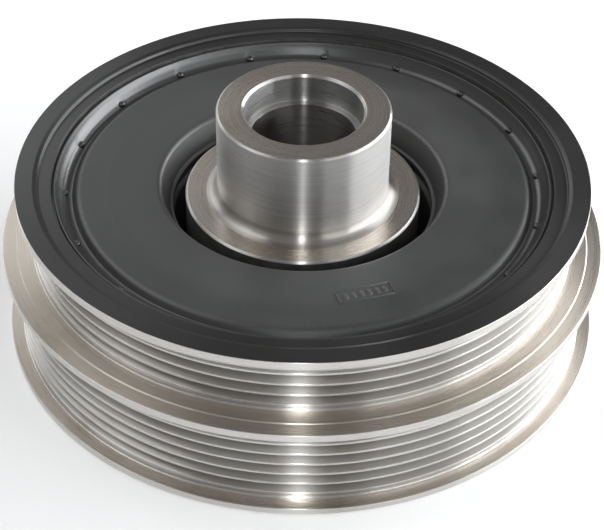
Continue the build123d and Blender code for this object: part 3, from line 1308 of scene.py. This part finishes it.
@dataclass
class Isolator:
    """Moulded rubber ring: disc face, trough with gate nubs, spring ring and inner lip, in mm."""

    inner_radius: float = 44.2
    skin_front: float = 37.1
    lip_front: float = 38.4
    carrier_hole_radius: float = 42.2
    carrier_rear: float = 43.9
    carrier_bend: float = 3.5
    collar_radius: float = 64.0
    front: float = 24.5
    bond_radius: float = 70.0
    lip_gap: float = 0.6
    lip_height: float = 46.9
    lip_width: float = 0.6
    lip_round: float = 0.25
    crevice_depth: float = 1.0
    floor_start: float = 64.5
    floor_end: float = 66.28
    floor_height: float = 43.0
    floor_round: float = 0.5
    wall_round: float = 2.3
    wall_middle: tuple[float, float] = (68.1, 45.5)
    wall_bow: float = 6.0
    shoulder_radius: float = 62.9
    shoulder_round: float = 2.2
    face_height: float = 45.2
    face_fall: float = 0.30
    break_radius: float = 54.4
    break_round: float = 6.0
    hole_radius: float = 39.9
    hole_round: float = 1.6
    foot_radius: float = 37.3
    foot_round: float = 0.3
    skin_round: float = 0.2
    run_spacing: float = 0.35
    bead_radius: float = 36.5
    bead_height: float = 1.5
    nub_count: int = 18
    nub_circle: float = 66.7
    nub_first: float = 4.9
    nub_radius: float = 1.05
    nub_height: float = 0.65
    nub_base: float = 43.45
    nub_sides: int = 16
    dish_radius: float = 1.7
    dish_depth: float = 0.12
    dish_flat: float = 0.45
    dish_fall: float = 1.0
    dish_margin: float = 1.35
    arc_step: float = 9.0
    near_columns: int = 19
    far_columns: int = 8
    frame_radius: float = 51.5
    frame_angle: float = 288.7
    frame_width: float = 15.3
    frame_height: float = 5.1
    frame_line: float = 0.42
    frame_rise: float = 0.20
    pad_count: int = 6
    pad_width: float = 1.3
    pad_height: float = 2.3
    pad_rise: float = 0.13
    frame_margin: float = 1.2
    bar_slope: float = 0.12
    bar_slope_share: float = 0.3
    bar_cut_share: float = 0.35
    bar_sink: float = 0.15

    def _outline(self) -> Outline:
        """Half section of the rubber.

        Returns:
            A closed outline.
        """
        crevice = self.bond_radius - self.lip_gap
        fine = self.run_spacing
        corners = [
            Corner(self.inner_radius, self.skin_front, self.skin_round),
            Corner(self.inner_radius, self.lip_front),
            Corner(self.carrier_hole_radius, self.lip_front),
            Corner(self.carrier_hole_radius, self.carrier_rear, self.carrier_bend),
            Corner(self.collar_radius, self.carrier_rear, self.carrier_bend),
            Corner(self.collar_radius, self.front),
            Corner(self.bond_radius, self.front),
            Corner(self.bond_radius, self.lip_height - self.crevice_depth),
            Corner(crevice, self.lip_height - self.crevice_depth),
            Corner(crevice, self.lip_height, self.lip_round),
            Corner(crevice - self.lip_width, self.lip_height, self.lip_round, fine),
            Corner(*self.wall_middle, self.wall_bow, fine),
            Corner(self.floor_end, self.floor_height, self.wall_round, fine),
            Corner(self.floor_start, self.floor_height, self.floor_round, fine),
            Corner(self.shoulder_radius, self.face_height - self.face_fall, self.shoulder_round),
            Corner(self.break_radius, self.face_height, self.break_round),
            Corner(self.hole_radius, self.face_height, self.hole_round),
            Corner(self.foot_radius, self.skin_front + self.bead_height, self.foot_round),
            Corner(self.bead_radius, self.skin_front + self.bead_height, self.foot_round),
            Corner(self.bead_radius, self.skin_front, self.foot_round),
        ]
        return Outline(corners, arc_step=self.arc_step)

    def _angles(self) -> np.ndarray:
        """Angles round the axis, close together at each gate nub.

        Returns:
            The angles in rising order, radians.
        """
        step = 2 * math.pi / self.nub_count
        reach = self.dish_margin * self.dish_radius / self.nub_circle
        near = np.linspace(-reach, reach, self.near_columns)
        far = np.linspace(reach, step - reach, self.far_columns + 2)[1:-1]
        one = np.concatenate([near, far])
        first = math.radians(self.nub_first)
        return np.concatenate([first + number * step + one for number in range(self.nub_count)])

    def _bar(
        self, along: float, across: float, length: float, width: float, rise: float
    ) -> list[list[tuple[float, ...]]]:
        """Rings of one raised bar with sloped sides and cut corners.

        Args:
            along: place of its middle along the frame, mm.
            across: place of its middle across the frame, mm.
            length: its size along the frame, mm.
            width: its size across the frame, mm.
            rise: its height above the face, mm.

        Returns:
            Its rings, lowest first.
        """
        turn = math.radians(self.frame_angle)
        outward = np.array([math.cos(turn), math.sin(turn)])
        sideways = np.array([-math.sin(turn), math.cos(turn)])
        slope = min(self.bar_slope, self.bar_slope_share * min(length, width))
        rings = []
        for inset, height in ((0.0, -self.bar_sink), (0.0, 0.0), (slope, rise)):
            a = length / 2 - inset
            b = width / 2 - inset
            cut = self.bar_cut_share * min(a, b)
            ring = [(a, b - cut), (a - cut, b), (cut - a, b), (-a, b - cut)]
            ring += [(-x, -y) for x, y in ring]
            places = [sideways * (along + x) + outward * (self.frame_radius + across + y) for x, y in ring]
            rings.append([(*place, self.face_height + height) for place in places])
        return rings

    def _frame(self) -> bpy.types.Mesh:
        """Plain raised frame on the disc face with a row of blank pads in it.

        Returns:
            Its mesh.
        """
        side = (self.frame_width - self.frame_line) / 2
        edge = (self.frame_height - self.frame_line) / 2
        line = self.frame_line
        bars = [self._bar(0.0, place, self.frame_width, line, self.frame_rise) for place in (edge, -edge)]
        bars += [self._bar(place, 0.0, line, self.frame_height, self.frame_rise) for place in (side, -side)]
        pitch = (self.frame_width - 2 * self.frame_margin) / self.pad_count
        for number in range(self.pad_count):
            along = (number - (self.pad_count - 1) / 2) * pitch
            bars.append(self._bar(along, 0.0, self.pad_width, self.pad_height, self.pad_rise))
        return stacked_mesh("raised_frame", bars)

    def _nub(self) -> bpy.types.Mesh:
        """One gate nub: a low dome with a broken-off hollow in its top, standing on Z = 0.

        Returns:
            Its mesh.
        """
        profile = [
            (1.12, -0.35),
            (1.02, 0.30),
            (0.90, 0.62),
            (0.66, 0.88),
            (0.42, 1.00),
            (0.26, 0.93),
            (0.12, 0.86),
        ]
        angles = even_angles(self.nub_sides)
        rings = []
        for wide, tall in profile:
            reach = wide * self.nub_radius
            height = tall * self.nub_height
            rings.append([(reach * math.cos(turn), reach * math.sin(turn), height) for turn in angles])
        return stacked_mesh("gate_nub", [rings])

    def _gates(self, body: bpy.types.Object) -> bpy.types.Object:
        """Sinks a dish round each gate and stands a nub in it, with a node tree.

        Args:
            body: the turned rubber.

        Returns:
            The rubber with its gates.
        """
        pattern = in_scene("gate_nub", self._nub())
        tool = NodeTool("gate_tree")
        count = tool.ask("Gates", "NodeSocketInt", self.nub_count)
        circle = tool.ask("Gate circle", "NodeSocketFloat", self.nub_circle * MM)
        first = tool.ask("First gate", "NodeSocketFloat", math.radians(self.nub_first))
        reach = tool.ask("Dish radius", "NodeSocketFloat", self.dish_radius * MM)
        depth = tool.ask("Dish depth", "NodeSocketFloat", self.dish_depth * MM)
        floor = tool.ask("Floor", "NodeSocketFloat", self.nub_base * MM)
        place = tool.add("GeometryNodeInputPosition").outputs[0]
        x, y, z = tool.add("ShaderNodeSeparateXYZ", {0: place}).outputs
        radius = tool.math("SQRT", tool.square(x, y))
        angle = tool.math("SUBTRACT", tool.math("ARCTAN2", y, x), first)
        step = tool.math("DIVIDE", 2 * math.pi, count)
        nearest = tool.math("MULTIPLY", tool.math("ROUND", tool.math("DIVIDE", angle, step)), step)
        off = tool.math("SUBTRACT", angle, nearest)
        across = tool.math("MULTIPLY", radius, tool.math("SINE", off))
        along = tool.math("SUBTRACT", tool.math("MULTIPLY", radius, tool.math("COSINE", off)), circle)
        distance = tool.math("SQRT", tool.square(across, along))
        share = tool.ramp(tool.math("DIVIDE", distance, reach), self.dish_flat, 1.0, 1.0, 0.0)
        is_top = tool.math("GREATER_THAN", z, (self.floor_height - self.dish_fall) * MM)
        fall = tool.math("MULTIPLY", depth, -1.0)
        sink = tool.math("MULTIPLY", tool.math("MULTIPLY", share, is_top), fall)
        dent = {"Geometry": tool.given.outputs[0], "Offset": tool.combine(z=sink)}
        dented = tool.add("GeometryNodeSetPosition", dent)
        ring = tool.add("GeometryNodeMeshCircle", {"Vertices": count, "Radius": circle})
        move = {"Translation": tool.combine(z=floor), "Rotation": tool.combine(z=first)}
        placed = tool.add("GeometryNodeTransform", {"Geometry": ring.outputs[0], **move})
        nub = tool.add("GeometryNodeObjectInfo", {"Object": pattern})
        stood = tool.add(
            "GeometryNodeInstanceOnPoints",
            {"Points": placed.outputs[0], "Instance": nub.outputs["Geometry"]},
        )
        both = tool.add("GeometryNodeJoinGeometry")
        tool.link(stood.outputs[0], both.inputs[0])
        tool.link(dented.outputs[0], both.inputs[0])
        tool.close(both.outputs[0], made(DISC_RUBBER))
        result = tool.apply(body)
        bpy.data.objects.remove(pattern)
        return result

    def build(self) -> bpy.types.Object:
        """Builds and dresses the rubber.

        Returns:
            The finished piece.
        """
        turned = in_scene("turned_rubber", turned_mesh("turned_rubber", self._outline(), self._angles()))
        frame_bars = in_scene("raised_frame", self._frame())
        body = self._gates(joined("isolator_moulded", [turned, frame_bars]))
        finish_faces(body, made(DISC_RUBBER), [])
        settle(body, Slot.RUBBER, "isolator_rubber")
        return body


# ------------------------------------------------------------------ hub


@dataclass
class Hub:
    """Turned hub with the oil-seal sleeve, shoulder, web and outer rim, in mm."""

    sleeve_radius: float = 24.0
    sleeve_length: float = 27.1
    foot_fillet: float = 3.1
    shoulder_radius: float = 33.0
    shoulder_height: float = 41.9
    edge_chamfer: float = 0.50
    edge_round: float = 0.15
    bore_radius: float = 14.5
    recess_radius: float = 16.4
    recess_depth: float = 8.3
    nose_chamfer: float = 0.70
    front: float = 1.5
    front_round: float = 0.5
    seat_radius: float = 22.0
    seat_depth: float = 7.0
    web_front: float = 6.0
    web_thickness: float = 8.0
    web_fillet: float = 3.0
    rim_radius: float = 62.0
    rim_thickness: float = 6.0
    rim_front: float = 3.0
    rim_chamfer: float = 2.2
    rim_round: float = 0.4
    arc_step: float = 10.0
    ground_depth: float = 2.0
    edge_margin: float = 0.1
    plane_margin: float = 0.02
    nose_margin: float = 0.01
    columns: int = 256

    def _outline(self) -> Outline:
        """Half section of the hub.

        Returns:
            A closed outline.
        """
        seat = self.front + self.seat_depth
        top = self.shoulder_height + self.sleeve_length
        rim_bore = self.rim_radius - self.rim_thickness
        web_rear = self.web_front + self.web_thickness
        cut = self.edge_chamfer
        edge = self.edge_round
        corners = [
            Corner(self.bore_radius, seat, edge),
            Corner(self.seat_radius, seat, self.rim_round),
            Corner(self.seat_radius, self.front, edge),
            Corner(self.shoulder_radius, self.front, self.front_round),
            Corner(self.shoulder_radius, self.web_front, self.web_fillet / 2),
            Corner(rim_bore, self.web_front, self.web_fillet / 2),
            Corner(rim_bore, self.rim_front, self.rim_round),
            Corner(self.rim_radius, self.rim_front, self.rim_round),
            Corner(self.rim_radius, self.shoulder_height - self.rim_chamfer, edge),
            Corner(self.rim_radius - self.rim_chamfer, self.shoulder_height, edge),
            Corner(rim_bore, self.shoulder_height, edge),
            Corner(rim_bore, web_rear, self.web_fillet),
            Corner(self.shoulder_radius, web_rear, self.web_fillet),
            Corner(self.shoulder_radius, self.shoulder_height - cut, edge),
            Corner(self.shoulder_radius - cut, self.shoulder_height, edge),
            Corner(self.sleeve_radius, self.shoulder_height, self.foot_fillet),
            Corner(self.sleeve_radius, top - cut, edge),
            Corner(self.sleeve_radius - cut, top, edge),
            Corner(self.recess_radius + self.nose_chamfer, top, edge),
            Corner(self.recess_radius, top - self.nose_chamfer, edge),
            Corner(self.recess_radius, top - self.recess_depth, edge),
            Corner(self.bore_radius, top - self.recess_depth, edge),
        ]
        return Outline(corners, arc_step=self.arc_step)

    def _regions(self) -> list[tuple[bpy.types.Material, RingTest]]:
        """Finishes of the hub by radius and height, each of which wins over those before it.

        Returns:
            Pairs of a finish and its test.
        """
        shoulder = self.shoulder_height
        top = shoulder + self.sleeve_length
        near = self.plane_margin
        past = self.edge_margin
        shoulder_edge = self.shoulder_radius + past
        foot_start = self.sleeve_radius + near
        foot_end = self.sleeve_radius + self.foot_fillet - past
        ground = shoulder - self.ground_depth
        return [
            (
                made(SLEEVE_STEEL),
                lambda r, z: (r > self.recess_radius) & (r < shoulder_edge) & (z > ground),
            ),
            (made(FACE_STEEL), lambda r, z: (abs(z - shoulder) < near) & (r < shoulder_edge)),
            (
                made(FOOT_STEEL),
                lambda r, z: (r > foot_start)
                & (r < foot_end)
                & (z > shoulder + near)
                & (z < shoulder + self.foot_fillet),
            ),
            (made(FACE_STEEL), lambda r, z: abs(z - top) < self.nose_margin),
            (made(RECESS_STEEL), lambda r, z: (r < self.recess_radius + past) & (z < top - past)),
            (made(BORE_STEEL), lambda r, z: (r < self.bore_radius + past) & (z < top - self.recess_depth)),
        ]

    def build(self) -> bpy.types.Object:
        """Builds and dresses the hub.

        Returns:
            The finished piece.
        """
        mesh = turned_mesh("hub_turned", self._outline(), even_angles(self.columns))
        hub = in_scene("hub_turned", mesh)
        finish_faces(hub, made(CAST_DARK), self._regions())
        settle(hub, Slot.HUB, "hub")
        return hub


# ------------------------------------------------------------------ parts inside


@dataclass(frozen=True)
class InnerPart:
    """A CAD node that keeps its own mesh and gets a finish.

    Attributes:
        node: name of the CAD node.
        finish: its finish.
    """

    node: str
    finish: DarkPart

    def dress(self) -> None:
        """Gives the node its finish."""
        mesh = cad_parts[self.node].data
        mesh.materials.clear()
        mesh.materials.append(made(self.finish))
        LOG.info("%s: dressed", self.node)


# ------------------------------------------------------------------ studio


@dataclass(frozen=True)
class Panel:
    """A soft light panel that faces the object.

    Attributes:
        name: name of the lamp.
        azimuth: direction it stands in, degrees from +X towards +Y.
        elevation: height of its middle above the floor, degrees.
        width: width, m.
        height: height, m.
        radiance: brightness of its face.
        tint: colour.
        distance: distance from the object, m.
        sheen_only: whether it only makes highlights and adds no plain light.
    """

    name: str
    azimuth: float
    elevation: float
    width: float
    height: float
    radiance: float
    tint: tuple[float, float, float] = WINDOW_TINT
    distance: float = 3.0
    sheen_only: bool = False

    def direction(self) -> Vector:
        """Direction of the panel.

        Returns:
            Unit vector from the object to the panel.
        """
        azimuth = math.radians(self.azimuth)
        elevation = math.radians(self.elevation)
        flat = math.cos(elevation)
        return Vector((flat * math.cos(azimuth), flat * math.sin(azimuth), math.sin(elevation)))

    def pose(self, aim: Vector) -> Matrix:
        """Place and turn of the panel.

        Args:
            aim: point that it faces.

        Returns:
            A matrix whose -Z looks at the aim.
        """
        toward = self.direction()
        turn = toward.to_track_quat("Z", "Y").to_matrix().to_4x4()
        return Matrix.Translation(aim + toward * self.distance) @ turn

    def light(self, aim: Vector) -> None:
        """Adds the panel as a lamp.

        Args:
            aim: point that it faces.
        """
        lamp = bpy.data.lights.new(self.name, "AREA")
        lamp.shape = "RECTANGLE"
        lamp.size = self.width
        lamp.size_y = self.height
        lamp.energy = self.radiance * math.pi * self.width * self.height
        lamp.color = self.tint
        holder = in_scene(self.name, lamp)
        holder.matrix_world = self.pose(aim)
        holder.visible_camera = False
        holder.visible_diffuse = not self.sheen_only


@dataclass
class Studio:
    """Pale floor, soft panels and the camera, in metres and degrees."""

    aim: Vector
    floor_size: float = 8.0
    floor_tint: tuple[float, float, float] = (0.95, 0.95, 0.95)
    floor_roughness: float = 0.9
    floor_lift: float = 0.20
    strip_tint: tuple[float, float, float] = (0.94, 0.97, 1.0)
    back_radiance: float = 0.22
    front_radiance: float = 0.42
    room_span: tuple[float, float] = (-0.35, 0.45)
    horizon_radiance: float = 0.60
    horizon_span: tuple[float, float] = (0.02, 0.30)
    camera_distance: float = 0.3840
    camera_height: float = 0.3306
    camera_yaw: float = 0.02
    camera_pitch: float = 39.51
    camera_roll: float = 0.94
    focal_length: float = 101.5
    sensor_width: float = 36.0
    clip_start: float = 0.01

    def panels(self) -> list[Panel]:
        """The lamps."""
        return [
            Panel("window_panel", 11.0, 15.0, width=5.2, height=1.3, radiance=8.0),
            Panel("side_panel", -46.0, 24.0, width=1.9, height=1.1, radiance=2.9),
            Panel("back_left_panel", 125.0, 28.0, width=2.4, height=1.2, radiance=1.9, tint=SKY_TINT),
            Panel("ceiling_panel", 165.0, 56.0, width=2.6, height=1.5, radiance=1.9, tint=SKY_TINT),
            Panel("upper_window", 42.0, 46.0, width=1.6, height=0.7, radiance=2.4),
            Panel("camera_strip", -90.0, 34.0, 0.07, 1.9, 48.0, self.strip_tint, sheen_only=True),
        ]

    def floor(self) -> None:
        """Lays the floor at the lowest point of the object."""
        half = self.floor_size / 2
        corners = [(-half, -half, 0), (half, -half, 0), (half, half, 0), (-half, half, 0)]
        mesh = bpy.data.meshes.new("floor")
        mesh.from_pydata(corners, [], [(0, 1, 2, 3)])
        floor = in_scene("floor", mesh)
        tool = ShaderTool("pale_floor")
        tool.set(Base_Color=(*self.floor_tint, 1.0), Emission_Color=(*WHITE, 1.0))
        tool.set(Roughness=self.floor_roughness, Specular_IOR_Level=0.0)
        path = tool.add("ShaderNodeLightPath")
        seen = tool.math("ADD", path.outputs["Is Camera Ray"], path.outputs["Is Glossy Ray"])
        seen = tool.math("ADD", seen, path.outputs["Is Transmission Ray"], clamp=True)
        tool.use("Emission Strength", tool.math("MULTIPLY", seen, self.floor_lift))
        mesh.materials.append(tool.material)
        floor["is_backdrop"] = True

    def sky(self) -> None:
        """Surrounds the studio with a room that is pale at the horizon and brighter in front."""
        world = bpy.data.worlds.new("room")
        bpy.context.scene.world = world
        world.use_nodes = True
        tool = TreeTool(world.node_tree)
        tool.tree.nodes.clear()
        view = tool.add("ShaderNodeTexCoord").outputs["Generated"]
        _, depth, height = tool.add("ShaderNodeSeparateXYZ", {0: view}).outputs
        room = tool.ramp(depth, *self.room_span, self.front_radiance, self.back_radiance)
        strength = tool.ramp(height, *self.horizon_span, self.horizon_radiance, room)
        light = tool.add("ShaderNodeBackground", {"Strength": strength})
        output = tool.add("ShaderNodeOutputWorld")
        tool.link(light.outputs[0], output.inputs["Surface"])

    def camera(self) -> None:
        """Sets the camera."""
        yaw = math.radians(self.camera_yaw)
        pitch = math.radians(self.camera_pitch)
        roll = math.radians(self.camera_roll)
        ahead = Vector((math.sin(yaw), math.cos(yaw), 0.0))
        forward = ahead * math.cos(pitch) - Vector((0.0, 0.0, math.sin(pitch)))
        level = Vector((math.cos(yaw), -math.sin(yaw), 0.0))
        upright = level.cross(forward)
        right = math.cos(roll) * level + math.sin(roll) * upright
        up = math.cos(roll) * upright - math.sin(roll) * level
        view = Matrix((right, up, -forward)).transposed().to_4x4()
        view.translation = Vector((0.0, -self.camera_distance, self.camera_height))
        data = bpy.data.cameras.new("camera")
        data.sensor_width = self.sensor_width
        data.lens = self.focal_length
        data.clip_start = self.clip_start
        holder = in_scene("camera", data)
        holder.matrix_world = view
        bpy.context.scene.camera = holder

    def build(self) -> None:
        """Builds the studio."""
        self.floor()
        self.sky()
        for panel in self.panels():
            panel.light(self.aim)
        self.camera()
        bpy.context.scene.view_settings.view_transform = "Standard"
        LOG.info("studio: %d panels", len(self.panels()))


def main() -> None:
    """Builds the studio and every piece in order."""
    logging.basicConfig(level=logging.INFO, format="%(name)s: %(message)s")
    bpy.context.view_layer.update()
    low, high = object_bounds()
    Studio(aim=Vector((0.0, 0.0, (low.z + high.z) / 2))).build()
    PulleyRing(RibProfile()).build()
    Isolator().build()
    Hub().build()
    for part in (
        InnerPart("carrier_ring", PRESSED_DARK),
        InnerPart("inertia_ring", CAST_DARK),
        InnerPart("damper_rubber", INNER_RUBBER),
        InnerPart("bearing_bush", BUSH_PLASTIC),
    ):
        part.dress()


if __name__ == "__main__":
    main()
